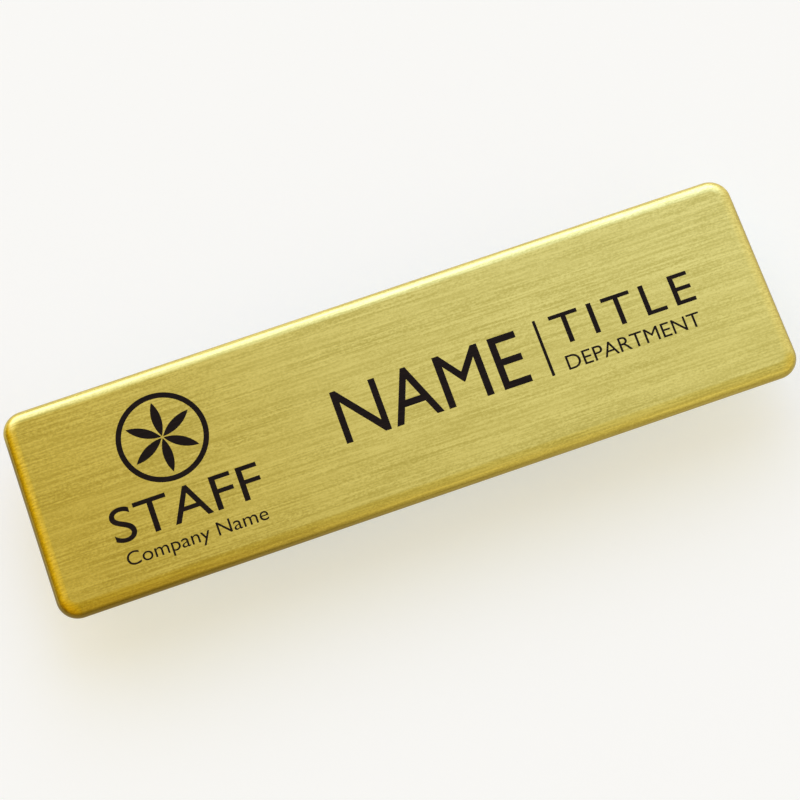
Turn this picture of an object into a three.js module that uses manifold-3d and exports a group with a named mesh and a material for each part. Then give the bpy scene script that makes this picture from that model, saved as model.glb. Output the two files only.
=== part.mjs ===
// A name badge: one flat metal plate with rounded front edges, and the bar pin on its back that
// fastens it to cloth. The plate's front is bare metal, ready for a printed name.
// Millimetres, +Z up. The badge lies face up on its pin, as on a table: X runs along the plate,
// Y across it, and the origin is on the table, under the middle of the plate.
import * as THREE from "three";
import { mergeVertices } from "three/addons/utils/BufferGeometryUtils.js";
import Module from "manifold-3d";

// Plate
const PLATE_LENGTH = 70;
const PLATE_WIDTH = 20;
const PLATE_THICKNESS = 1;
const PLATE_CORNER_RADIUS = 2;
const FRONT_EDGE_RADIUS = 0.9;
const BACK_EDGE_CHAMFER = 0.05;
const LEAST_SIDE_WALL = 0.05;
const LEAST_CORNER_RADIUS = 0.2;
const LEAST_STRAIGHT = 0.2;

// Bar pin: a flat bar with two ears, a barrel and a catch, all of one sheet, and its needle
const BAR_LENGTH = 38;
const BAR_WIDTH = 6;
const BAR_CORNER_RADIUS = 2.4;
const SHEET_THICKNESS = 0.8;
const GLUE_LINE = 0.05;
const CLOTH_GAP = 2.6;

// Ears and barrel, where the needle starts
const EAR_LENGTH = 4.4;
const EAR_CORNER_RADIUS = 1.3;
const EAR_END_INSET = 1.5;
const EAR_SIDE_INSET = 0.5;
const BARREL_GROUND_CLEARANCE = 0.15;

// Needle
const NEEDLE_DIAMETER = 0.9;
const NEEDLE_TAPER_LENGTH = 5;
const NEEDLE_OVERHANG = 0.6;

// Catch, the open hook that holds the needle's point
const CATCH_LENGTH = 4;
const CATCH_END_INSET = 1.5;
const CATCH_BEND_RADIUS = 0.25;
const CATCH_FLOOR_CLEARANCE = 0.1;
const CATCH_LIP_CLEARANCE = 0.4;
const CATCH_LIP_RISE = 0.5;

// Smoothness of the round stretches
const CORNER_STEPS = 12;
const EDGE_STEPS = 8;
const BEND_STEPS = 6;
const TAPER_STEPS = 5;
const ROUND_SIDES = 24;

// Heights, from the table up
const needleRadius = NEEDLE_DIAMETER / 2;
const needleHeight = SHEET_THICKNESS + CATCH_FLOOR_CLEARANCE + needleRadius;
const barBottom = needleHeight + needleRadius + CLOTH_GAP;
const barMiddle = barBottom + SHEET_THICKNESS / 2;
const barTop = barBottom + SHEET_THICKNESS;
const plateBack = barTop + GLUE_LINE;

// Places along and across the bar
const earOuterFace = BAR_WIDTH / 2 - EAR_SIDE_INSET;
const earInnerFace = earOuterFace - SHEET_THICKNESS;
const hingeX = -(BAR_LENGTH / 2 - EAR_END_INSET - EAR_LENGTH / 2);
const catchEndX = BAR_LENGTH / 2 - CATCH_END_INSET;
const catchStartX = catchEndX - CATCH_LENGTH;
const needlePointX = catchEndX + NEEDLE_OVERHANG;

const wasm = await Module();
wasm.setup();

const plateMetal = new THREE.MeshStandardMaterial({
  color: 0xc8b060,
  roughness: 0.35,
  metalness: 1,
});
const pinSteel = new THREE.MeshStandardMaterial({
  color: 0xb9bbbd,
  roughness: 0.3,
  metalness: 1,
});

// Joining

// The geometry as a manifold solid, with its shared vertices merged.
function solidOf(geometry) {
  const bare = geometry.index ? geometry.toNonIndexed() : geometry.clone();
  bare.deleteAttribute("normal");
  bare.deleteAttribute("uv");
  const merged = mergeVertices(bare, 1e-4);
  const mesh = new wasm.Mesh({
    numProp: 3,
    vertProperties: merged.attributes.position.array,
    triVerts: new Uint32Array(merged.index.array),
  });
  return new wasm.Manifold(mesh);
}

// One geometry that holds all of these, fused.
function fuse(geometries) {
  const whole = geometries.map(solidOf).reduce((sum, piece) => sum.add(piece));
  const { vertProperties, triVerts } = whole.getMesh();
  const fused = new THREE.BufferGeometry();
  fused.setAttribute("position", new THREE.BufferAttribute(vertProperties, 3));
  fused.setIndex(new THREE.BufferAttribute(triVerts, 1));
  fused.computeVertexNormals();
  return fused;
}

// Shapes

// A corner radius, held back where two of them would leave less than a short straight on this side.
function fittingRadius(radius, side) {
  return Math.min(radius, (side - LEAST_STRAIGHT) / 2);
}

function roundedRectangle(length, width, cornerRadius) {
  const radius = fittingRadius(cornerRadius, Math.min(length, width));
  const x = length / 2 - radius;
  const y = width / 2 - radius;
  const shape = new THREE.Shape();
  shape.absarc(x, y, radius, 0, Math.PI / 2);
  shape.absarc(-x, y, radius, Math.PI / 2, Math.PI);
  shape.absarc(-x, -y, radius, Math.PI, Math.PI * 1.5);
  shape.absarc(x, -y, radius, Math.PI * 1.5, Math.PI * 2);
  shape.closePath();
  return shape;
}

// A closed body through outlines of equal point counts, each { outline, height }, from low to high.
function stackOutlines(levels) {
  const count = levels[0].outline.length;
  const topStart = (levels.length - 1) * count;
  const positions = [];
  for (const { outline, height } of levels) {
    for (const point of outline) positions.push(point.x, point.y, height);
  }
  const index = [];
  for (let start = 0; start < topStart; start += count) {
    for (let i = 0; i < count; i++) {
      const a = start + i;
      const b = start + ((i + 1) % count);
      index.push(a, b, b + count, a, b + count, a + count);
    }
  }
  for (const [i, j, k] of THREE.ShapeUtils.triangulateShape(levels[0].outline, [])) {
    index.push(i, k, j);
    index.push(topStart + i, topStart + j, topStart + k);
  }
  const body = new THREE.BufferGeometry();
  body.setAttribute("position", new THREE.Float32BufferAttribute(positions, 3));
  body.setIndex(index);
  body.computeVertexNormals();
  return body;
}

// Plate: a small chamfer round the back, a short upright wall, and a quarter round to the front.
function plateGeometry() {
  const wallLimit = PLATE_THICKNESS - BACK_EDGE_CHAMFER - LEAST_SIDE_WALL;
  const round = Math.min(FRONT_EDGE_RADIUS, wallLimit);
  const profile = [
    { inset: BACK_EDGE_CHAMFER, rise: 0 },
    { inset: 0, rise: BACK_EDGE_CHAMFER },
  ];
  for (let step = 0; step <= EDGE_STEPS; step++) {
    const angle = (step / EDGE_STEPS) * (Math.PI / 2);
    profile.push({
      inset: round * (1 - Math.cos(angle)),
      rise: PLATE_THICKNESS - round * (1 - Math.sin(angle)),
    });
  }
  const levels = profile.map(({ inset, rise }) => {
    const corner = Math.max(PLATE_CORNER_RADIUS - inset, LEAST_CORNER_RADIUS);
    const shape = roundedRectangle(PLATE_LENGTH - 2 * inset, PLATE_WIDTH - 2 * inset, corner);
    return { outline: shape.extractPoints(CORNER_STEPS).shape, height: plateBack + rise };
  });
  return stackOutlines(levels);
}

// Bar pin

function barGeometry() {
  const outline = roundedRectangle(BAR_LENGTH, BAR_WIDTH, BAR_CORNER_RADIUS);
  const bar = new THREE.ExtrudeGeometry(outline, {
    depth: SHEET_THICKNESS,
    bevelEnabled: false,
    curveSegments: CORNER_STEPS,
  });
  return bar.translate(0, 0, barBottom);
}

// An ear hangs from the bar on one side of the barrel, with round lower corners.
function earGeometry(side) {
  const half = EAR_LENGTH / 2;
  const round = fittingRadius(EAR_CORNER_RADIUS, EAR_LENGTH);
  const profile = new THREE.Shape();
  profile.moveTo(half, barMiddle);
  profile.lineTo(-half, barMiddle);
  profile.absarc(-half + round, round, round, Math.PI, Math.PI * 1.5);
  profile.absarc(half - round, round, round, Math.PI * 1.5, Math.PI * 2);
  profile.closePath();
  const ear = new THREE.ExtrudeGeometry(profile, {
    depth: SHEET_THICKNESS,
    bevelEnabled: false,
    curveSegments: BEND_STEPS,
  });
  ear.rotateX(Math.PI / 2);
  return ear.translate(hingeX, side > 0 ? earOuterFace : -earInnerFace, 0);
}

function barrelGeometry() {
  const radius = needleHeight - BARREL_GROUND_CLEARANCE;
  const length = 2 * earInnerFace + SHEET_THICKNESS;
  const barrel = new THREE.CylinderGeometry(radius, radius, length, ROUND_SIDES);
  return barrel.translate(hingeX, 0, needleHeight);
}

// The needle runs from the barrel's middle to its point, just past the end of the catch.
function needleGeometry() {
  const length = needlePointX - hingeX;
  const profile = [new THREE.Vector2(0, 0), new THREE.Vector2(needleRadius, 0)];
  for (let step = 0; step < TAPER_STEPS; step++) {
    const share = step / TAPER_STEPS;
    const radius = needleRadius * Math.cos(share * (Math.PI / 2));
    profile.push(new THREE.Vector2(radius, length - NEEDLE_TAPER_LENGTH * (1 - share)));
  }
  profile.push(new THREE.Vector2(0, length));
  const needle = new THREE.LatheGeometry(profile, ROUND_SIDES);
  needle.rotateZ(-Math.PI / 2);
  return needle.translate(hingeX, 0, needleHeight);
}

// The catch is a strip bent under the needle: a wall from the bar, a floor on the table, and a lip
// that leaves the needle room to be lifted out between lip and bar.
function catchGeometry() {
  const innerBend = CATCH_BEND_RADIUS;
  const outerBend = innerBend + SHEET_THICKNESS;
  const lipInnerFace = -(needleRadius + CATCH_LIP_CLEARANCE);
  const lipOuterFace = lipInnerFace - SHEET_THICKNESS;
  const lipTop = needleHeight + needleRadius + CATCH_LIP_RISE;
  const down = Math.PI * 1.5;
  const profile = new THREE.Shape();
  profile.moveTo(earOuterFace, barMiddle);
  profile.lineTo(earInnerFace, barMiddle);
  profile.absarc(earInnerFace - innerBend, outerBend, innerBend, 0, down, true);
  profile.absarc(lipInnerFace + innerBend, outerBend, innerBend, down, Math.PI, true);
  profile.lineTo(lipInnerFace, lipTop);
  profile.lineTo(lipOuterFace, lipTop);
  profile.absarc(lipOuterFace + outerBend, outerBend, outerBend, Math.PI, down);
  profile.absarc(earOuterFace - outerBend, outerBend, outerBend, down, Math.PI * 2);
  profile.closePath();
  const hook = new THREE.ExtrudeGeometry(profile, {
    depth: CATCH_LENGTH,
    bevelEnabled: false,
    curveSegments: BEND_STEPS,
  });
  const alongX = new THREE.Matrix4().makeBasis(
    new THREE.Vector3(0, 1, 0),
    new THREE.Vector3(0, 0, 1),
    new THREE.Vector3(1, 0, 0),
  );
  return hook.applyMatrix4(alongX).translate(catchStartX, 0, 0);
}

function pinGeometry() {
  return fuse([
    barGeometry(),
    earGeometry(1),
    earGeometry(-1),
    barrelGeometry(),
    needleGeometry(),
    catchGeometry(),
  ]);
}

// Assembly

function namedMesh(name, geometry, material) {
  const mesh = new THREE.Mesh(geometry, material);
  mesh.name = name;
  return mesh;
}

const badge = new THREE.Group();
badge.add(namedMesh("plate", plateGeometry(), plateMetal));
badge.add(namedMesh("bar_pin", pinGeometry(), pinSteel));

export default badge;
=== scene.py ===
"""Finish of a brushed gold-coloured name badge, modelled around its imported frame.

The plate, its bar pin and its flat print are new pieces in metres, in the frame's own axes:
X along the plate, Y across it, Z up out of its face.
"""

import math

import bmesh
import bpy
from bpy.props import (
    FloatProperty,
    FloatVectorProperty,
    IntProperty,
    PointerProperty,
    StringProperty,
)
from mathutils import Matrix, Vector


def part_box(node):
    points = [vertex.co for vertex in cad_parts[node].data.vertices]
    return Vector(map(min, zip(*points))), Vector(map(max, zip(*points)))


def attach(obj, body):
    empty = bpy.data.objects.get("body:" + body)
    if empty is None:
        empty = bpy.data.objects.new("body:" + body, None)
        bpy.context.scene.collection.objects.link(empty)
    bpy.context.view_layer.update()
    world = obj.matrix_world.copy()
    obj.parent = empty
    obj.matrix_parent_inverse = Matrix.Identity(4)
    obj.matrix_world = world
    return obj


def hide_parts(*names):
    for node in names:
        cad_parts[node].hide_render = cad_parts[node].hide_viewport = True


bl_info = {
    "name": "Brushed Name Badge",
    "version": (1, 0, 0),
    "blender": (4, 5, 0),
    "location": "3D View > Sidebar > Badge",
    "description": "Models and finishes a brushed metal name badge with a bar pin",
    "category": "Object",
}

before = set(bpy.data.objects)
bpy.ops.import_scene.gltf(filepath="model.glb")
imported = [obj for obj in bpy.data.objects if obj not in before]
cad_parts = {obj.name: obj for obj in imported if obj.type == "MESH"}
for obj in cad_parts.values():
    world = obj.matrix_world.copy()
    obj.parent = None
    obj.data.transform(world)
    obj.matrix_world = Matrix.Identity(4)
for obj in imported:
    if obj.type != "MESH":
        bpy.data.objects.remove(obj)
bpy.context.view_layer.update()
PLATE_LOW, PLATE_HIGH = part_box("plate")
PIN_LOW, PIN_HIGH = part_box("bar_pin")
FACE_HEIGHT = PLATE_HIGH.z

MM = 0.001
TOUCH = 0.01 * MM
RIGHT_ANGLE = math.radians(90)
SIXTH_TURN = math.radians(60)
UPWARDS = (0.0, 0.0, 1.0)
BLACK = (0.0, 0.0, 0.0, 1.0)

# How finely round stretches are divided
BACK_STEPS = 2
BAR_CORNER_STEPS = 12
EAR_STEPS = 10
BEND_STEPS = 10
TAPER_STEPS = 8
BREAK_STEPS = 2
RULE_STEPS = 4
BARREL_SIDES = 48
WIRE_SIDES = 32
RING_SIDES = 128
PETAL_STEPS = 24

# Joining and shading
FUSE_REACH = 0.002 * MM
PETAL_FUSE_REACH = 0.001 * MM
BREAK_ANGLE = math.radians(40)
SMOOTH_ANGLE = math.radians(32)
WHOLE_WEIGHT = 100


# Settings


def length(name, description, default):
    """A size in metres, shown in the scene's own unit."""
    return FloatProperty(
        name=name,
        description=description,
        default=default,
        subtype="DISTANCE",
        unit="LENGTH",
        precision=5,
    )


def colour(name, description, default):
    """A linear colour."""
    return FloatVectorProperty(
        name=name,
        description=description,
        default=default,
        size=3,
        min=0.0,
        max=1.0,
        subtype="COLOR",
    )


def share(name, description, default):
    """A plain number between 0 and 1."""
    return FloatProperty(name=name, description=description, default=default, min=0.0, max=1.0)


def words(name, description, default):
    """A generic word or two."""
    return StringProperty(name=name, description=description, default=default)


class BadgePlateSettings(bpy.types.PropertyGroup):
    """Sizes of the plate."""

    length: length("Length", "Plate's long side", PLATE_HIGH.x - PLATE_LOW.x)
    width: length("Width", "Plate's short side", PLATE_HIGH.y - PLATE_LOW.y)
    thickness: length("Thickness", "Sheet thickness of the plate", PLATE_HIGH.z - PLATE_LOW.z)
    corner_radius: length("Corner Radius", "Round of the four corners, seen from the front", 2.0 * MM)
    front_reach: length("Front Reach", "How far in the front edge starts to round off", 1.3 * MM)
    front_drop: length("Front Drop", "How far down the rounded front edge goes", 0.9 * MM)
    back_chamfer: length("Back Chamfer", "Small break of the back edge", 0.05 * MM)
    corner_steps: IntProperty(
        name="Corner Steps", description="Faces round each corner", default=20, min=4, max=64
    )
    edge_steps: IntProperty(
        name="Edge Steps", description="Faces across the rounded edge", default=16, min=3, max=32
    )


class BadgeGoldSettings(bpy.types.PropertyGroup):
    """Finish of the plate."""

    colour: colour("Gold", "Colour of the brushed metal", (0.81, 0.68, 0.16))
    streak_dark: colour("Dark Streak", "Colour in the brush lines' hollows", (0.66, 0.545, 0.11))
    streak_light: colour("Light Streak", "Colour on the brush lines' ridges", (0.95, 0.81, 0.215))
    # Painted reflection: the rounded edge's deeper, more orange colours stand in for the warm light it
    # mirrors
    painted_edge_dark: colour("Dark Edge", "Colour of the brush lines' hollows on the edge", (0.74, 0.58, 0.11))
    painted_edge_light: colour("Light Edge", "Colour of the brush lines' ridges on the edge", (0.99, 0.79, 0.17))
    # Painted shade: a dark brown low on the sides, standing in for the dark room that they mirror
    painted_shade_colour: colour("Cut Edge", "Colour of the dull cut edge, low on the sides", (0.20, 0.13, 0.015))
    roughness: share("Roughness", "Mean roughness of the brushed face", 0.23)
    edge_roughness: share("Edge Roughness", "Roughness of the rounded edge", 0.23)
    anisotropy: share("Anisotropy", "How far the brushing stretches reflections", 0.6)
    rough_spread: share("Roughness Spread", "How far the brush lines change the roughness", 0.015)
    coat: share("Lacquer", "Weight of the clear lacquer", 0.1)
    coat_roughness: share("Lacquer Roughness", "Roughness of the clear lacquer", 0.2)
    # The edge's painted reflection tint: how much of it shows at most, and where under the face it
    # starts and is full
    edge_weight: share("Edge Weight", "How much of the edge's own colour shows at most", 0.85)
    edge_start: length("Edge Start", "How far under the face the edge's colour starts", 0.01 * MM)
    edge_full: length("Edge Full", "How far under the face the edge's colour is full", 0.20 * MM)
    # Where the painted shade low on the edge starts and where it is full
    painted_shade_start: length("Cut Edge Start", "How far under the face the dull edge starts", 0.15 * MM)
    painted_shade_full: length("Cut Edge Full", "How far under the face the edge is all dull", 0.52 * MM)


class BadgePinSettings(bpy.types.PropertyGroup):
    """Sizes and finish of the bar pin."""

    bar_corner: length("Bar Corner", "Round of the bar's corners", 2.4 * MM)
    sheet: length("Sheet", "Sheet thickness of bar, ears and catch", 0.8 * MM)
    side_inset: length("Side Inset", "How far ears and catch stand in from the bar's sides", 0.5 * MM)
    end_inset: length("End Inset", "How far ears and catch stand in from the bar's ends", 1.5 * MM)
    ear_length: length("Ear Length", "Length of an ear along the bar", 4.4 * MM)
    ear_round: length("Ear Round", "Round of an ear's lower corners", 1.3 * MM)
    catch_length: length("Catch Length", "Length of the catch along the bar", 4.0 * MM)
    bend: length("Bend", "Inner bend radius of the catch", 0.25 * MM)
    lip_gap: length("Lip Gap", "Room between needle and the catch's lip", 0.4 * MM)
    lip_rise: length("Lip Rise", "How far the lip stands above the needle", 0.5 * MM)
    needle: length("Needle", "Needle's diameter", 0.9 * MM)
    needle_taper: length("Needle Taper", "Length of the needle's point", 5.0 * MM)
    needle_tip: share("Needle Tip", "Width left at the needle's point, as a share of the wire's", 0.03)
    needle_overhang: length("Needle Overhang", "How far the point stands out past the catch", 0.6 * MM)
    needle_lift: length("Needle Lift", "Room between needle and the catch's floor", 0.1 * MM)
    barrel_lift: length("Barrel Lift", "Room under the barrel", 0.15 * MM)
    edge_break: length("Edge Break", "Small round on all sheet edges", 0.1 * MM)
    colour: colour("Steel", "Colour of the plated steel", (0.60, 0.59, 0.57))
    roughness: share("Roughness", "Roughness of the plated steel", 0.28)


class BadgePrintSettings(bpy.types.PropertyGroup):
    """Words, sizes and finish of the flat print."""

    name_line: words("Name Line", "Large word in the middle", "NAME")
    title_line: words("Title Line", "Word at the right", "TITLE")
    department_line: words("Department Line", "Small words at the right", "DEPARTMENT")
    staff_line: words("Staff Line", "Word under the rosette", "STAFF")
    company_line: words("Company Line", "Small words under the rosette", "Company Name")
    film: length("Film", "Thickness of the printed film", 0.02 * MM)
    sunk: length("Sunk", "How deep the film bites into the brushed face", 0.01 * MM)
    rosette_x: length("Rosette X", "Rosette's middle, along the plate", -21.5 * MM)
    rosette_y: length("Rosette Y", "Rosette's middle, across the plate", 3.2 * MM)
    rosette_radius: length("Rosette Radius", "Outer radius of the rosette's ring", 4.2 * MM)
    ring_width: length("Ring Width", "Width of the rosette's ring", 0.5 * MM)
    petal_radius: length("Petal Radius", "Radius of the arcs that draw the petals", 3.5 * MM)
    petal_size: share("Petal Size", "Size of a petal, less than whole to keep it free of the rest", 0.94)
    rule_round: length("Rule Round", "Round of the thin rule's corners", 0.06 * MM)
    ink: colour("Ink", "Colour of the print", (0.009, 0.005, 0.003))
    roughness: share("Roughness", "Roughness of the print", 0.42)


class BadgeStageSettings(bpy.types.PropertyGroup):
    """Camera, floor and light."""

    azimuth: FloatProperty(
        name="Azimuth",
        description="Turn of the view round the badge",
        default=math.radians(-17.01),
        subtype="ANGLE",
        unit="ROTATION",
    )
    elevation: FloatProperty(
        name="Elevation",
        description="Height of the view over the floor",
        default=math.radians(72.79),
        subtype="ANGLE",
        unit="ROTATION",
    )
    roll: FloatProperty(
        name="Roll",
        description="Turn of the camera about its own line of sight",
        default=math.radians(-2.44),
        subtype="ANGLE",
        unit="ROTATION",
    )
    distance: length("Distance", "Camera to badge", 236.7 * MM)
    aim_x: length("Aim X", "Where the camera looks, along the plate", -0.289 * MM)
    aim_y: length("Aim Y", "Where the camera looks, across the plate", -0.65 * MM)
    lens: FloatProperty(
        name="Lens", description="Focal length", default=118.56, min=10.0, unit="CAMERA"
    )
    floor: colour("Floor", "Colour of the plain floor", (0.81, 0.785, 0.565))
    floor_glow: share("Floor Glow", "Light from under the floor, as on a light table", 0.33)


GROUPS = {
    "badge_plate": BadgePlateSettings,
    "badge_gold": BadgeGoldSettings,
    "badge_pin": BadgePinSettings,
    "badge_print": BadgePrintSettings,
    "badge_stage": BadgeStageSettings,
}


# Modelling helpers


def pick(obj, others=()):
    """Makes obj the active object, and selects nothing but it and the others."""
    bpy.ops.object.select_all(action="DESELECT")
    for picked in (obj, *others):
        picked.select_set(True)
    bpy.context.view_layer.objects.active = obj


def start_edit(obj):
    """Enters edit mode on obj alone, with nothing in its mesh selected."""
    pick(obj)
    bpy.ops.object.mode_set(mode="EDIT")
    bpy.ops.mesh.select_all(action="DESELECT")


def end_edit():
    """Leaves edit mode."""
    bpy.ops.object.mode_set(mode="OBJECT")


def select_edges(obj, wanted):
    """Selects the edges whose two ends pass the test, in edit mode."""
    bpy.ops.mesh.select_mode(type="EDGE")
    bpy.ops.mesh.select_all(action="DESELECT")
    mesh = bmesh.from_edit_mesh(obj.data)
    for edge in mesh.edges:
        edge.select_set(wanted(edge.verts[0].co, edge.verts[1].co))
    bmesh.update_edit_mesh(obj.data)


def select_faces(obj, wanted):
    """Selects the faces whose middle passes the test, in edit mode."""
    bpy.ops.mesh.select_mode(type="FACE")
    bpy.ops.mesh.select_all(action="DESELECT")
    mesh = bmesh.from_edit_mesh(obj.data)
    for face in mesh.faces:
        face.select_set(wanted(face.calc_center_median()))
    bmesh.update_edit_mesh(obj.data)


def round_edges(obj, wanted, radius, steps):
    """Rounds the edges that pass the test."""
    select_edges(obj, wanted)
    bpy.ops.mesh.bevel(offset=radius, offset_type="OFFSET", segments=steps, affect="EDGES")


def apply_place(obj):
    """Moves an object's place, turn and scale into its mesh."""
    pick(obj)
    bpy.ops.object.transform_apply(location=True, rotation=True, scale=True)


def new_block(name, low, high):
    """A block between two corners, with its place in its mesh."""
    low, high = Vector(low), Vector(high)
    bpy.ops.mesh.primitive_cube_add(size=1.0, location=(low + high) / 2)
    obj = bpy.context.object
    obj.name = name
    obj.data.name = name
    obj.scale = high - low
    apply_place(obj)
    return obj


def apply_modifier(obj, kind, **values):
    """Adds one modifier with these values and applies it."""
    pick(obj)
    modifier = obj.modifiers.new(kind.title(), kind)
    for key, value in values.items():
        setattr(modifier, key, value)
    bpy.ops.object.modifier_apply(modifier=modifier.name)


def smooth(obj):
    """Smooth shading with flat faces kept flat."""
    pick(obj)
    bpy.ops.object.shade_smooth_by_angle(angle=SMOOTH_ANGLE)
    apply_modifier(obj, "WEIGHTED_NORMAL", mode="FACE_AREA", weight=WHOLE_WEIGHT, keep_sharp=True)


def finish_piece(obj, name, material):
    """Names a piece, and gives it its material and body."""
    obj.name = name
    obj.data.name = name
    obj.data.materials.clear()
    obj.data.materials.append(material)
    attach(obj, "root")


# Material helpers


# A colour mix node also has number and vector sockets, so its colour sockets go by their places
COLOUR_MIX_INPUTS = (0, 6, 7)
COLOUR_MIX_OUTPUT = 2


class Nodes:
    """A short way to add and link shader nodes."""

    def __init__(self, tree):
        self.tree = tree
        tree.nodes.clear()

    def fill(self, socket, value):
        """Links an input to another node's output, or sets it to a plain value."""
        if isinstance(value, bpy.types.NodeSocket):
            self.tree.links.new(value, socket)
        else:
            socket.default_value = value

    def add(self, kind, inputs=None, **values):
        """A node with these attributes, and these inputs linked or set."""
        node = self.tree.nodes.new(kind)
        for key, value in values.items():
            setattr(node, key, value)
        for key, value in (inputs or {}).items():
            self.fill(node.inputs[key], value)
        return node

    def math(self, operation, first, second):
        """Two numbers put together."""
        return self.add("ShaderNodeMath", {0: first, 1: second}, operation=operation).outputs[0]

    def vector(self, operation, first, second):
        """Two places or two colours put together, part by part."""
        return self.add("ShaderNodeVectorMath", {0: first, 1: second}, operation=operation).outputs[0]

    def ramp(self, value, low, high, to_low=0.0, to_high=1.0):
        """value, eased from one range to another."""
        node = self.add(
            "ShaderNodeMapRange",
            {"Value": value, "From Min": low, "From Max": high, "To Min": to_low, "To Max": to_high},
            interpolation_type="SMOOTHSTEP",
        )
        return node.outputs["Result"]

    def mix(self, factor, first, second):
        """Two colours mixed."""
        node = self.add("ShaderNodeMix", data_type="RGBA")
        for key, value in zip(COLOUR_MIX_INPUTS, (factor, first, second)):
            self.fill(node.inputs[key], value)
        return node.outputs[COLOUR_MIX_OUTPUT]

    def gradient(self, value, stops, key, low, high):
        """The stops' colours, as shares of the brightest, by where value lies between low and high."""
        along = self.add(
            "ShaderNodeMapRange", {"Value": value, "From Min": low, "From Max": high}
        )
        node = self.add("ShaderNodeValToRGB", {0: along.outputs["Result"]})
        marks = node.color_ramp.elements
        while len(marks) < len(stops):
            marks.new(1.0)
        for mark, stop in zip(marks, stops):
            mark.position = (stop[key] - low) / (high - low)
            mark.color = rgba(stop["colour"], 1.0 / BRIGHTEST)
        return node.outputs[0]

    def noise(self, place, scale, detail, turn=0.0):
        """Noise stretched by three scales, per metre, and turned about Z by some degrees."""
        mapping = self.add(
            "ShaderNodeMapping",
            {"Vector": place, "Rotation": (0.0, 0.0, math.radians(turn))},
            vector_type="POINT",
        )
        stretched = self.vector("MULTIPLY", mapping.outputs[0], scale)
        node = self.add("ShaderNodeTexNoise", {"Vector": stretched, "Scale": 1.0, "Detail": detail})
        return node.outputs[0]


def rgba(value, shade=1.0):
    """A colour for a socket, made darker or lighter by its shade."""
    return (*(shade * part for part in value), 1.0)


def new_material(name):
    """An empty node material, and its nodes."""
    material = bpy.data.materials.new(name)
    material.use_nodes = True
    return material, Nodes(material.node_tree)


def output(nodes, shader):
    """Ends a material with this shader."""
    nodes.add("ShaderNodeOutputMaterial", {"Surface": shader.outputs[0]})


# Materials

# Brush lines: noises stretched by these scales along the plate, across it and up, each turned a
# little, in degrees. The last one is a short grain. Their weights add up to one.
BRUSH_LINES = [
    {"weight": 0.3, "scale": (90.0, 5000.0, 5000.0), "detail": 1.0, "turn": 0.3},
    {"weight": 0.17, "scale": (420.0, 5600.0, 5600.0), "detail": 1.0, "turn": -0.7},
    {"weight": 0.18, "scale": (200.0, 6200.0, 6200.0), "detail": 1.0, "turn": 1.0},
    {"weight": 0.35, "scale": (4200.0, 6500.0, 6500.0), "detail": 2.0, "turn": 0.0},
]
BRUSH_BANDS = {"scale": (60.0, 900.0, 900.0), "detail": 2.0, "turn": 1.5}
CLOUDS = {"scale": (130.0, 330.0, 330.0), "detail": 3.0}
DRAWING_MARKS = {"scale": (250.0, 4000.0, 4000.0), "detail": 2.0}
TARNISH = {"scale": (420.0, 420.0, 420.0), "detail": 4.0}
PRINT_LINES_BELOW = {"scale": (420.0, 9000.0, 9000.0), "detail": 2.0}

# Between which two values each noise goes from dark to light, and how strongly it then shows
LINE_TONE = (0.38, 0.62)
BAND_TONE = (0.35, 0.65)
BAND_STRENGTH = 0.35
CLOUD_TONE = (0.40, 0.70)
CLOUD_STRENGTH = 0.25
SPOT_TONE = (0.45, 0.75)
TARNISH_STRENGTH = 0.6
TARNISH_SHADE = 0.72
WORN_SHADE = 2.0
ROUGH_TONE = (0.3, 0.7)
LESS_ROUGH = 0.06
MORE_ROUGH = 0.08
RELIEF_DEPTH = 0.01 * MM
STEEL_RELIEF = 0.15
PRINT_RELIEF = 0.2

# Where the shade painted low on the edge grows weaker: away from the plate's left end, and on its upper
# side.
# It and the edge's painted reflection tint end a little above the back.
PAINTED_SHADE_END_REACH = (2.0 * MM, 55.0 * MM)
PAINTED_SHADE_END_LEAST = 0.7
PAINTED_SHADE_SIDE_REACH = (6.0 * MM, 9.6 * MM)
PAINTED_SHADE_SIDE_LEAST = 0.45
BACK_REACH = 0.08 * MM

# A quarter turn, which stretches reflections across the brush lines
STRETCH_TURN = 0.25

PRINT_SPECULAR = 0.1
FLOOR_ROUGHNESS = 0.9
FLOOR_GLOW_COLOUR = (0.94, 1.09, 1.44)


def brush_lines(nodes, place):
    """All the brush lines together, from 0 to 1."""
    lines = 0.0
    for row in BRUSH_LINES:
        one = nodes.noise(place, row["scale"], row["detail"], row["turn"])
        lines = nodes.math("ADD", lines, nodes.math("MULTIPLY", one, row["weight"]))
    return lines


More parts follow.
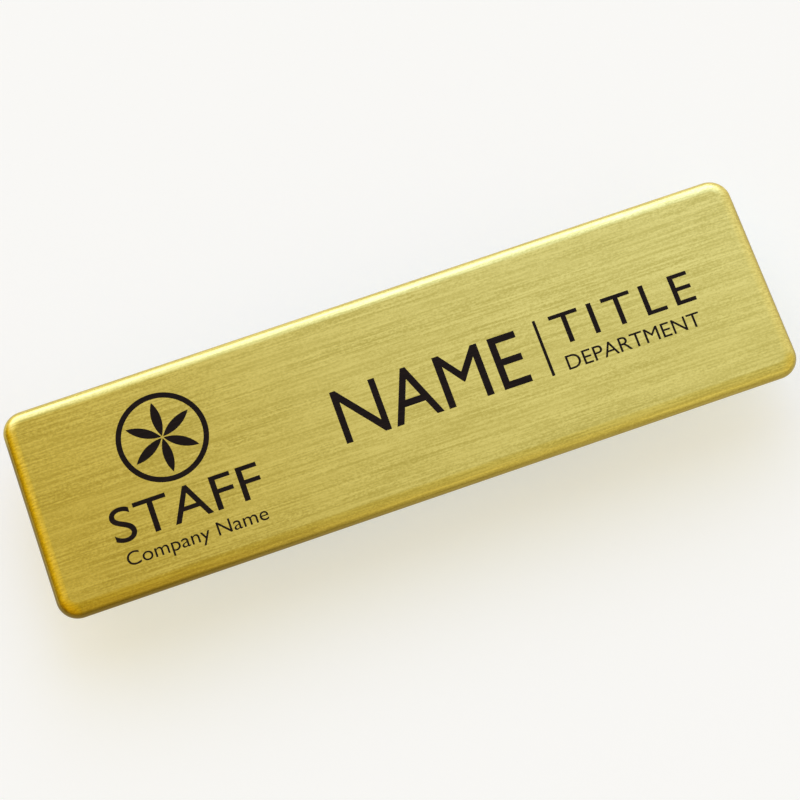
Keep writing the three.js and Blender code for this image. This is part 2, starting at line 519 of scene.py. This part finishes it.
def brushed_gold(settings):
    """Brass-coloured metal: long and short brush lines along X, a rounded edge painted a deeper, more
    orange colour for its warm reflections, and shade painted low on the sides for the dark room they
    mirror."""
    material, nodes = new_material("brushed_gold")
    place = nodes.add("ShaderNodeTexCoord").outputs["Object"]
    part = nodes.add("ShaderNodeSeparateXYZ", {0: place}).outputs
    lines = brush_lines(nodes, place)
    bands = nodes.noise(place, **BRUSH_BANDS)
    clouds = nodes.noise(place, **CLOUDS)

    def under_face(start, full, most):
        """Grows from 0 to most between two depths under the face, and ends short of the back."""
        grown = nodes.ramp(part["Z"], FACE_HEIGHT - full, FACE_HEIGHT - start, most, 0.0)
        front = nodes.ramp(part["Z"], PLATE_LOW.z, PLATE_LOW.z + BACK_REACH)
        return nodes.math("MULTIPLY", grown, front)

    # Mask for the edge's painted reflection tint; it also blends in the edge's roughness
    edge = under_face(settings.edge_start, settings.edge_full, settings.edge_weight)
    # Painted shade low on the edge, stronger at the plate's left end and on its lower side
    painted_shade = under_face(settings.painted_shade_start, settings.painted_shade_full, 1.0)
    end_start, end_stop = PAINTED_SHADE_END_REACH
    from_end = nodes.ramp(
        part["X"], PLATE_LOW.x + end_start, PLATE_LOW.x + end_stop, 1.0, PAINTED_SHADE_END_LEAST
    )
    from_side = nodes.ramp(part["Y"], *PAINTED_SHADE_SIDE_REACH, 1.0, PAINTED_SHADE_SIDE_LEAST)
    painted_shade = nodes.math("MULTIPLY", nodes.math("MULTIPLY", painted_shade, from_end), from_side)

    tone = nodes.ramp(lines, *LINE_TONE)
    band_share = nodes.ramp(bands, *BAND_TONE, 0.0, BAND_STRENGTH)
    cloud_share = nodes.ramp(clouds, *CLOUD_TONE, 0.0, CLOUD_STRENGTH)
    gold = nodes.mix(tone, rgba(settings.streak_dark), rgba(settings.streak_light))
    gold = nodes.mix(band_share, gold, rgba(settings.colour))
    gold = nodes.mix(cloud_share, gold, rgba(settings.streak_light))
    # The edge's painted reflection: brush lines in deeper, more orange colours
    painted_edge_gold = nodes.mix(tone, rgba(settings.painted_edge_dark), rgba(settings.painted_edge_light))
    gold = nodes.mix(edge, gold, painted_edge_gold)
    # The painted shade darkens the low edge
    gold = nodes.mix(painted_shade, gold, rgba(settings.painted_shade_colour))

    smoothest = settings.roughness - settings.rough_spread
    roughest = settings.roughness + settings.rough_spread
    rough = nodes.ramp(lines, *ROUGH_TONE, smoothest, roughest)
    face_rough = nodes.math("MULTIPLY", rough, nodes.math("SUBTRACT", 1.0, edge))
    edge_rough = nodes.math("MULTIPLY", edge, settings.edge_roughness)
    rough = nodes.math("ADD", face_rough, edge_rough)
    tangent = nodes.add("ShaderNodeTangent", direction_type="UV_MAP", uv_map="UVMap")
    shader = nodes.add(
        "ShaderNodeBsdfPrincipled",
        {
            "Base Color": gold,
            "Metallic": 1.0,
            "Roughness": rough,
            "Anisotropic": settings.anisotropy,
            "Anisotropic Rotation": STRETCH_TURN,
            "Tangent": tangent.outputs[0],
            "Coat Weight": settings.coat,
            "Coat Roughness": settings.coat_roughness,
        },
    )
    output(nodes, shader)
    return material


def uneven(nodes, noise, roughness):
    """A roughness that follows a noise a little."""
    return nodes.ramp(noise, *ROUGH_TONE, roughness - LESS_ROUGH, roughness + MORE_ROUGH)


def relief(nodes, noise, strength):
    """A faint relief that follows a noise."""
    values = {"Strength": strength, "Distance": RELIEF_DEPTH, "Height": noise}
    return nodes.add("ShaderNodeBump", values).outputs[0]


def plated_steel(settings):
    """Nickel-plated sheet steel with faint drawing marks and a little tarnish."""
    material, nodes = new_material("plated_steel")
    place = nodes.add("ShaderNodeTexCoord").outputs["Object"]
    drawn = nodes.noise(place, **DRAWING_MARKS)
    tarnish = nodes.ramp(nodes.noise(place, **TARNISH), *SPOT_TONE, 0.0, TARNISH_STRENGTH)
    shader = nodes.add(
        "ShaderNodeBsdfPrincipled",
        {
            "Base Color": nodes.mix(
                tarnish, rgba(settings.colour), rgba(settings.colour, TARNISH_SHADE)
            ),
            "Metallic": 1.0,
            "Roughness": uneven(nodes, drawn, settings.roughness),
            "Normal": relief(nodes, drawn, STEEL_RELIEF),
        },
    )
    output(nodes, shader)
    return material


def black_print(settings):
    """Satin black ink, thin enough for the brush lines to show faintly through it."""
    material, nodes = new_material("black_print")
    place = nodes.add("ShaderNodeTexCoord").outputs["Object"]
    lines = nodes.noise(place, **PRINT_LINES_BELOW)
    worn = nodes.ramp(lines, *SPOT_TONE)
    shader = nodes.add(
        "ShaderNodeBsdfPrincipled",
        {
            "Base Color": nodes.mix(worn, rgba(settings.ink), rgba(settings.ink, WORN_SHADE)),
            "Roughness": uneven(nodes, lines, settings.roughness),
            "Specular IOR Level": PRINT_SPECULAR,
            "Normal": relief(nodes, lines, PRINT_RELIEF),
        },
    )
    output(nodes, shader)
    return material


def pale_floor(settings):
    """A plain pale matt floor that glows a little."""
    material, nodes = new_material("pale_floor")
    shader = nodes.add(
        "ShaderNodeBsdfPrincipled",
        {
            "Base Color": rgba(settings.floor),
            "Roughness": FLOOR_ROUGHNESS,
            "Emission Color": rgba(FLOOR_GLOW_COLOUR),
            "Emission Strength": settings.floor_glow,
        },
    )
    output(nodes, shader)
    return material


# Plate


def brush_map(obj, scale):
    """A flat map straight down onto the face, whose U runs along the brush lines."""
    mesh = obj.data
    middle = 0.5
    layer = mesh.uv_layers.get("UVMap") or mesh.uv_layers.new(name="UVMap")
    for corner in mesh.loops:
        place = mesh.vertices[corner.vertex_index].co
        layer.data[corner.index].uv = (place.x / scale + middle, place.y / scale + middle)


def is_upright(a, b):
    """Whether an edge stands up from the table."""
    return abs(a.z - b.z) > TOUCH


def plate_piece(settings):
    """A block whose corners are rounded first, then its front edge, then its back edge. It starts
    out thicker, and is pressed flatter once its front edge is round."""
    squash = settings.front_drop / settings.front_reach
    middle_x = (PLATE_LOW.x + PLATE_HIGH.x) / 2
    middle_y = (PLATE_LOW.y + PLATE_HIGH.y) / 2
    half = Vector((settings.length / 2, settings.width / 2))
    low = (middle_x - half.x, middle_y - half.y, FACE_HEIGHT - settings.thickness / squash)
    high = (middle_x + half.x, middle_y + half.y, FACE_HEIGHT)
    plate = new_block("plate_piece", low, high)
    front = FACE_HEIGHT - TOUCH
    start_edit(plate)
    round_edges(plate, is_upright, settings.corner_radius, settings.corner_steps)
    round_edges(
        plate, lambda a, b: min(a.z, b.z) > front, settings.front_reach, settings.edge_steps
    )
    end_edit()
    plate.scale = (1.0, 1.0, squash)
    plate.location = (0.0, 0.0, FACE_HEIGHT * (1.0 - squash))
    apply_place(plate)
    back = FACE_HEIGHT - settings.thickness + TOUCH
    start_edit(plate)
    round_edges(plate, lambda a, b: max(a.z, b.z) < back, settings.back_chamfer, BACK_STEPS)
    end_edit()
    brush_map(plate, settings.length)
    smooth(plate)
    return plate


class BADGE_OT_plate(bpy.types.Operator):
    """Models the brushed plate and puts it in the place of the plain one"""

    bl_idname = "badge.plate"
    bl_label = "Plate"
    bl_options = {"REGISTER", "UNDO"}

    def execute(self, context):
        plate = plate_piece(context.scene.badge_plate)
        material = brushed_gold(context.scene.badge_gold)
        finish_piece(plate, "brushed_plate", material)
        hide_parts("plate")
        return {"FINISHED"}


# Bar pin


def pin_bar(settings):
    """The flat bar against the plate's back."""
    low = (PIN_LOW.x, PIN_LOW.y, PIN_HIGH.z - settings.sheet)
    bar = new_block("pin_bar", low, PIN_HIGH)
    start_edit(bar)
    round_edges(bar, is_upright, settings.bar_corner, BAR_CORNER_STEPS)
    end_edit()
    return bar


def pin_ear(settings, side):
    """One ear, hanging from the bar on one side of the barrel, with round lower corners."""
    outer = PIN_HIGH.y - settings.side_inset
    inner = outer - settings.sheet
    start = PIN_LOW.x + settings.end_inset
    reach = sorted((side * inner, side * outer))
    ear = new_block(
        "pin_ear",
        (start, reach[0], PIN_LOW.z),
        (start + settings.ear_length, reach[1], PIN_HIGH.z - settings.sheet / 2),
    )
    start_edit(ear)
    round_edges(
        ear,
        lambda a, b: max(a.z, b.z) < PIN_LOW.z + TOUCH and abs(a.y - b.y) > TOUCH,
        settings.ear_round,
        EAR_STEPS,
    )
    end_edit()
    return ear


def needle_height(settings):
    """Height of the needle's middle."""
    return PIN_LOW.z + settings.sheet + settings.needle_lift + settings.needle / 2


def hinge_x(settings):
    """Place of the barrel's middle along the bar."""
    return PIN_LOW.x + settings.end_inset + settings.ear_length / 2


def pin_barrel(settings):
    """The round barrel between the ears."""
    radius = needle_height(settings) - PIN_LOW.z - settings.barrel_lift
    inner = PIN_HIGH.y - settings.side_inset - settings.sheet
    bpy.ops.mesh.primitive_cylinder_add(
        vertices=BARREL_SIDES,
        radius=radius,
        depth=2 * inner + settings.sheet,
        location=(hinge_x(settings), 0.0, needle_height(settings)),
        rotation=(RIGHT_ANGLE, 0.0, 0.0),
    )
    barrel = bpy.context.object
    apply_place(barrel)
    return barrel


def pin_needle(settings):
    """The needle: a round wire whose end is drawn out to a point in shrinking steps."""
    start = hinge_x(settings)
    tip = PIN_HIGH.x - settings.end_inset + settings.needle_overhang
    straight = tip - start - settings.needle_taper
    bpy.ops.mesh.primitive_cylinder_add(
        vertices=WIRE_SIDES,
        radius=settings.needle / 2,
        depth=straight,
        location=(start + straight / 2, 0.0, needle_height(settings)),
        rotation=(0.0, RIGHT_ANGLE, 0.0),
    )
    needle = bpy.context.object
    apply_place(needle)
    start_edit(needle)
    end_x = start + straight - TOUCH
    select_faces(needle, lambda middle: middle.x > end_x)
    width = 1.0
    for step in range(1, TAPER_STEPS + 1):
        wanted = max(math.cos(step / TAPER_STEPS * RIGHT_ANGLE), settings.needle_tip)
        bpy.ops.mesh.extrude_region_move(
            TRANSFORM_OT_translate={"value": (settings.needle_taper / TAPER_STEPS, 0.0, 0.0)}
        )
        bpy.ops.transform.resize(value=(1.0, wanted / width, wanted / width))
        width = wanted
    end_edit()
    return needle


def pin_catch(settings):
    """The catch: a strip folded down, under the needle and up to a lip, then given its thickness."""
    half_sheet = settings.sheet / 2
    wall = PIN_HIGH.y - settings.side_inset - half_sheet
    lip = -(settings.needle / 2 + settings.lip_gap + half_sheet)
    top = PIN_HIGH.z - half_sheet
    floor = PIN_LOW.z + half_sheet
    lip_top = needle_height(settings) + settings.needle / 2 + settings.lip_rise
    end = PIN_HIGH.x - settings.end_inset
    start = end - settings.catch_length
    bpy.ops.mesh.primitive_plane_add(size=1.0, location=(0.0, 0.0, 0.0))
    strip = bpy.context.object
    strip.scale = (settings.catch_length, top - floor, 1.0)
    strip.rotation_euler = (RIGHT_ANGLE, 0.0, 0.0)
    strip.location = ((start + end) / 2, wall, (top + floor) / 2)
    apply_place(strip)
    start_edit(strip)
    select_edges(strip, lambda a, b: max(a.z, b.z) < floor + TOUCH)
    bpy.ops.mesh.extrude_region_move(TRANSFORM_OT_translate={"value": (0.0, lip - wall, 0.0)})
    bpy.ops.mesh.extrude_region_move(TRANSFORM_OT_translate={"value": (0.0, 0.0, lip_top - floor)})
    round_edges(
        strip,
        lambda a, b: max(a.z, b.z) < floor + TOUCH and abs(a.x - b.x) > TOUCH,
        settings.bend + half_sheet,
        BEND_STEPS,
    )
    bpy.ops.mesh.select_all(action="SELECT")
    bpy.ops.mesh.normals_make_consistent(inside=False)
    end_edit()
    apply_modifier(strip, "SOLIDIFY", thickness=settings.sheet, offset=0.0, use_even_offset=True)
    return strip


def bar_pin_piece(settings):
    """All of the pin, fused into one body, with its sheet edges broken."""
    whole = pin_bar(settings)
    others = [
        pin_ear(settings, 1),
        pin_ear(settings, -1),
        pin_barrel(settings),
        pin_needle(settings),
        pin_catch(settings),
    ]
    for other in others:
        apply_modifier(whole, "BOOLEAN", operation="UNION", solver="EXACT", object=other)
        bpy.data.objects.remove(other)
    start_edit(whole)
    bpy.ops.mesh.select_all(action="SELECT")
    bpy.ops.mesh.remove_doubles(threshold=FUSE_REACH)
    bpy.ops.mesh.normals_make_consistent(inside=False)
    end_edit()
    apply_modifier(
        whole,
        "BEVEL",
        width=settings.edge_break,
        segments=BREAK_STEPS,
        limit_method="ANGLE",
        angle_limit=BREAK_ANGLE,
        use_clamp_overlap=True,
    )
    smooth(whole)
    return whole


class BADGE_OT_bar_pin(bpy.types.Operator):
    """Models the bar pin on the back, one plain fused piece"""

    bl_idname = "badge.bar_pin"
    bl_label = "Bar Pin"
    bl_options = {"REGISTER", "UNDO"}

    def execute(self, context):
        settings = context.scene.badge_pin
        pin = bar_pin_piece(settings)
        finish_piece(pin, "plated_bar_pin", plated_steel(settings))
        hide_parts("bar_pin")
        return {"FINISHED"}


# Print


# Each line of print: its piece, the setting that holds its words, how far its letters are spaced,
# and how far it reaches along the plate and across it, in millimetres
PRINT_LINES = [
    {
        "piece": "name_print",
        "words": "name_line",
        "spacing": 1.0,
        "along": (-6.1, 11.6),
        "across": (-2.95, 2.15),
    },
    {
        "piece": "title_print",
        "words": "title_line",
        "spacing": 1.2,
        "along": (14.9, 28.3),
        "across": (-0.65, 2.3),
    },
    {
        "piece": "department_print",
        "words": "department_line",
        "spacing": 1.0,
        "along": (15.05, 27.9),
        "across": (-3.1, -1.73),
    },
    {
        "piece": "staff_print",
        "words": "staff_line",
        "spacing": 1.0,
        "along": (-28.3, -14.4),
        "across": (-5.0, -1.7),
    },
    {
        "piece": "company_print",
        "words": "company_line",
        "spacing": 1.0,
        "along": (-27.9, -14.8),
        "across": (-7.6, -5.9),
    },
]
THIN_RULE = {"along": (13.4, 13.68), "across": (-3.15, 2.37)}
PETALS = 6


def film_low(settings):
    """Height of the printed film's foot, just inside the face."""
    return FACE_HEIGHT - settings.sunk


def thicken(sheet, settings):
    """Gives a flat sheet at the film's foot its thickness."""
    apply_modifier(sheet, "SOLIDIFY", thickness=settings.film, offset=1.0)


def finish_print(obj, name, settings):
    """Finishes a piece of print. All of them share one material."""
    material = bpy.data.materials.get("black_print") or black_print(settings)
    finish_piece(obj, name, material)


def fit(values, reach):
    """The scale and the shift that bring values to a reach given in millimetres."""
    low, high = (MM * end for end in reach)
    scale = (high - low) / (max(values) - min(values))
    return scale, low - min(values) * scale


def printed_line(settings, row):
    """A line of words, made a mesh and fitted to its place."""
    bpy.ops.object.text_add(location=(0.0, 0.0, 0.0))
    line = bpy.context.object
    line.data.body = getattr(settings, row["words"])
    line.data.space_character = row["spacing"]
    bpy.ops.object.convert(target="MESH")
    line = bpy.context.object
    scale_x, shift_x = fit([point.co.x for point in line.data.vertices], row["along"])
    scale_y, shift_y = fit([point.co.y for point in line.data.vertices], row["across"])
    line.scale = (scale_x, scale_y, 1.0)
    line.location = (shift_x, shift_y, film_low(settings))
    apply_place(line)
    thicken(line, settings)
    return line


def thin_rule(settings):
    """The upright line between two lines of words, with slightly round ends."""
    left, right = THIN_RULE["along"]
    low, high = THIN_RULE["across"]
    foot = film_low(settings)
    rule = new_block(
        "thin_rule",
        (left * MM, low * MM, foot),
        (right * MM, high * MM, foot + settings.film),
    )
    start_edit(rule)
    round_edges(rule, is_upright, settings.rule_round, RULE_STEPS)
    end_edit()
    return rule


def rosette_ring(settings):
    """A flat ring: a disc whose inside is inset and taken out."""
    bpy.ops.mesh.primitive_circle_add(
        vertices=RING_SIDES, radius=settings.rosette_radius, fill_type="NGON"
    )
    ring = bpy.context.object
    start_edit(ring)
    bpy.ops.mesh.select_mode(type="FACE")
    bpy.ops.mesh.select_all(action="SELECT")
    bpy.ops.mesh.inset(thickness=settings.ring_width)
    bpy.ops.mesh.delete(type="FACE")
    end_edit()
    return ring


def rosette_petal(settings):
    """One pointed petal, drawn by two arcs of a sixth of a turn."""
    radius = settings.petal_radius
    reach = radius * math.cos(SIXTH_TURN / 2)
    bpy.ops.mesh.primitive_circle_add(vertices=3, radius=radius)
    petal = bpy.context.object
    start_edit(petal)
    bpy.ops.mesh.select_mode(type="VERT")
    bpy.ops.mesh.select_all(action="SELECT")
    bpy.ops.mesh.merge(type="CENTER")
    for side in (1, -1):
        bpy.ops.mesh.spin(
            steps=PETAL_STEPS,
            angle=SIXTH_TURN,
            center=(side * reach, radius / 2, 0.0),
            axis=UPWARDS,
        )
    bpy.ops.mesh.select_all(action="SELECT")
    bpy.ops.mesh.remove_doubles(threshold=PETAL_FUSE_REACH)
    bpy.ops.mesh.edge_face_add()
    bpy.ops.mesh.normals_make_consistent(inside=False)
    bpy.ops.transform.resize(value=(settings.petal_size, settings.petal_size, 1.0))
    end_edit()
    return petal


def rosette(settings):
    """The old six-petalled rosette inside a ring, for the place over the left lines."""
    ring = rosette_ring(settings)
    first = rosette_petal(settings)
    petals = [first]
    for turn in range(1, PETALS):
        petal = first.copy()
        petal.data = first.data.copy()
        bpy.context.collection.objects.link(petal)
        petal.rotation_euler = (0.0, 0.0, SIXTH_TURN * turn)
        petals.append(petal)
    for petal in petals:
        apply_place(petal)
    pick(ring, petals)
    bpy.ops.object.join()
    ring.location = (settings.rosette_x, settings.rosette_y, film_low(settings))
    apply_place(ring)
    thicken(ring, settings)
    return ring


class BADGE_OT_print(bpy.types.Operator):
    """Prints generic words, a thin rule and a rosette on the plate's face"""

    bl_idname = "badge.print"
    bl_label = "Print"
    bl_options = {"REGISTER", "UNDO"}

    def execute(self, context):
        settings = context.scene.badge_print
        for row in PRINT_LINES:
            finish_print(printed_line(settings, row), row["piece"], settings)
        finish_print(thin_rule(settings), "rule_print", settings)
        finish_print(rosette(settings), "rosette_print", settings)
        return {"FINISHED"}


# Stage

FLOOR_SIZE = 6.0
SENSOR_WIDTH = 36.0
NEAREST = 0.01
FARTHEST = 20.0


def aim_at(obj, target, roll=0.0):
    """Turns an object so that it looks at a point, with up kept up, then rolls it."""
    look = (Vector(target) - obj.location).to_track_quat("-Z", "Y")
    obj.rotation_euler = (look.to_matrix() @ Matrix.Rotation(roll, 3, "Z")).to_euler()


def view_camera(settings):
    """The camera, a given distance from the point that it looks at."""
    target = Vector((settings.aim_x, settings.aim_y, FACE_HEIGHT))
    level = math.cos(settings.elevation)
    back = Vector(
        (
            math.sin(settings.azimuth) * level,
            -math.cos(settings.azimuth) * level,
            math.sin(settings.elevation),
        )
    )
    bpy.ops.object.camera_add(location=target + back * settings.distance)
    camera = bpy.context.object
    camera.name = "view_camera"
    camera.data.lens = settings.lens
    camera.data.sensor_width = SENSOR_WIDTH
    camera.data.clip_start = NEAREST
    camera.data.clip_end = FARTHEST
    aim_at(camera, target, settings.roll)
    bpy.context.scene.camera = camera


# The light of the walls by how far a direction points to the right, from -1 to 1, and that of the
# window by its tilt back from straight up, in degrees
WALLS = [
    {"across": -0.90, "colour": (0.34, 0.20, 0.0)},
    {"across": -0.68, "colour": (0.58, 0.38, 0.01)},
    {"across": -0.45, "colour": (0.59, 0.395, 0.03)},
    {"across": -0.18, "colour": (0.50, 0.36, 0.03)},
    {"across": -0.06, "colour": (0.38, 0.265, 0.01)},
    {"across": -0.01, "colour": (0.415, 0.315, 0.04)},
    {"across": 0.04, "colour": (0.50, 0.445, 0.27)},
    {"across": 0.10, "colour": (0.535, 0.495, 0.36)},
    {"across": 0.20, "colour": (0.565, 0.55, 0.47)},
    {"across": 0.60, "colour": (0.60, 0.54, 0.36)},
]
WINDOW = [
    {"tilt": 16.0, "colour": (0.0, 0.0, 0.0)},
    {"tilt": 27.0, "colour": (0.15, 0.20, 0.38)},
    {"tilt": 36.0, "colour": (0.30, 0.42, 1.00)},
    {"tilt": 44.0, "colour": (0.48, 0.68, 1.60)},
    {"tilt": 51.5, "colour": (0.85, 1.08, 2.7)},
    {"tilt": 60.0, "colour": (1.45, 1.80, 4.1)},
    {"tilt": 68.0, "colour": (1.45, 1.80, 4.2)},
    {"tilt": 80.0, "colour": (0.25, 0.28, 0.50)},
]
FRONT_WALL = (0.21, 0.21, 0.15)
HORIZON = 90.0

# More than any of the room's colours, so that as shares of it they all stay below one
BRIGHTEST = 5.0

# Where the window comes in from the left and goes out to the right, and where the front wall comes
# in from the left and from above
WINDOW_IN = (-0.72, -0.32)
WINDOW_OUT = (0.35, 0.90)
FRONT_IN = (-0.10, 0.20)
FRONT_DOWN = (-18.0, -50.0)

# The walls' tint overhead, from one tilt to another further back, and from one to another in front
TINT_ABOVE = (1.16, 1.17, 1.12)
TINT_BACK = (1.37, 1.60, 3.2)
TINT_FRONT = (0.96, 0.96, 1.0)
BACK_TILT = (12.0, 26.0)
FRONT_TILT = (-12.0, -30.0)


def room_light():
    """A plain room: a tall bright window behind the badge, a pale wall to its right, a dim, warm wall
    to its left and a pale wall in front. The side walls are paler and bluer towards the window."""
    world = bpy.data.worlds.new("room")
    bpy.context.scene.world = world
    world.use_nodes = True
    nodes = Nodes(world.node_tree)
    direction = nodes.add("ShaderNodeTexCoord").outputs["Generated"]
    part = nodes.add("ShaderNodeSeparateXYZ", {0: direction}).outputs
    right = part["X"]
    tilt = nodes.math("ARCTAN2", part["Y"], part["Z"])
    tilt = nodes.math("DIVIDE", tilt, math.radians(1))

    tint = nodes.mix(nodes.ramp(tilt, *BACK_TILT), rgba(TINT_ABOVE), rgba(TINT_BACK))
    tint = nodes.mix(nodes.ramp(tilt, *FRONT_TILT), tint, rgba(TINT_FRONT))
    walls = nodes.gradient(right, WALLS, "across", -1.0, 1.0)
    walls = nodes.vector("MULTIPLY", walls, tint)

    come_in = nodes.ramp(right, *WINDOW_IN)
    go_out = nodes.ramp(right, *WINDOW_OUT, 1.0, 0.0)
    window = nodes.gradient(tilt, WINDOW, "tilt", 0.0, HORIZON)
    window = nodes.mix(nodes.math("MULTIPLY", come_in, go_out), BLACK, window)

    come_in = nodes.ramp(right, *FRONT_IN)
    come_down = nodes.ramp(tilt, *FRONT_DOWN)
    front_wall = rgba(FRONT_WALL, 1.0 / BRIGHTEST)
    front = nodes.mix(nodes.math("MULTIPLY", come_in, come_down), BLACK, front_wall)

    light = nodes.vector("ADD", nodes.vector("ADD", window, front), walls)
    background = nodes.add("ShaderNodeBackground", {"Color": light, "Strength": BRIGHTEST})
    nodes.add("ShaderNodeOutputWorld", {"Surface": background.outputs[0]})


class BADGE_OT_stage(bpy.types.Operator):
    """Adds the plain floor, the light of a plain room and the camera"""

    bl_idname = "badge.stage"
    bl_label = "Stage"
    bl_options = {"REGISTER", "UNDO"}

    def execute(self, context):
        settings = context.scene.badge_stage
        bpy.ops.mesh.primitive_plane_add(size=FLOOR_SIZE)
        floor = context.object
        floor.name = "floor"
        floor.data.materials.append(pale_floor(settings))
        room_light()
        view_camera(settings)
        context.scene.view_settings.view_transform = "Standard"
        return {"FINISHED"}


# Panel and registration


class BADGE_PT_panel(bpy.types.Panel):
    """Lists the badge's pieces and their settings."""

    bl_label = "Name Badge"
    bl_idname = "BADGE_PT_panel"
    bl_space_type = "VIEW_3D"
    bl_region_type = "UI"
    bl_category = "Badge"

    def draw(self, context):
        layout = self.layout
        for operator in OPERATORS:
            layout.operator(operator.bl_idname)
        for key in GROUPS:
            group = getattr(context.scene, key)
            box = layout.box()
            for name in group.bl_rna.properties.keys():
                if name not in ("rna_type", "name"):
                    box.prop(group, name)


OPERATORS = (BADGE_OT_plate, BADGE_OT_bar_pin, BADGE_OT_print, BADGE_OT_stage)


def register():
    """Adds the settings, the operators and the panel."""
    for group in GROUPS.values():
        bpy.utils.register_class(group)
    for operator in OPERATORS:
        bpy.utils.register_class(operator)
    bpy.utils.register_class(BADGE_PT_panel)
    for key, group in GROUPS.items():
        setattr(bpy.types.Scene, key, PointerProperty(type=group))


def unregister():
    """Takes them out again."""
    for key in GROUPS:
        delattr(bpy.types.Scene, key)
    bpy.utils.unregister_class(BADGE_PT_panel)
    for operator in reversed(OPERATORS):
        bpy.utils.unregister_class(operator)
    for group in reversed(list(GROUPS.values())):
        bpy.utils.unregister_class(group)


def main():
    """Builds the whole badge and its stage."""
    register()
    bpy.ops.badge.plate()
    bpy.ops.badge.bar_pin()
    bpy.ops.badge.print()
    bpy.ops.badge.stage()


if __name__ == "__main__":
    main()
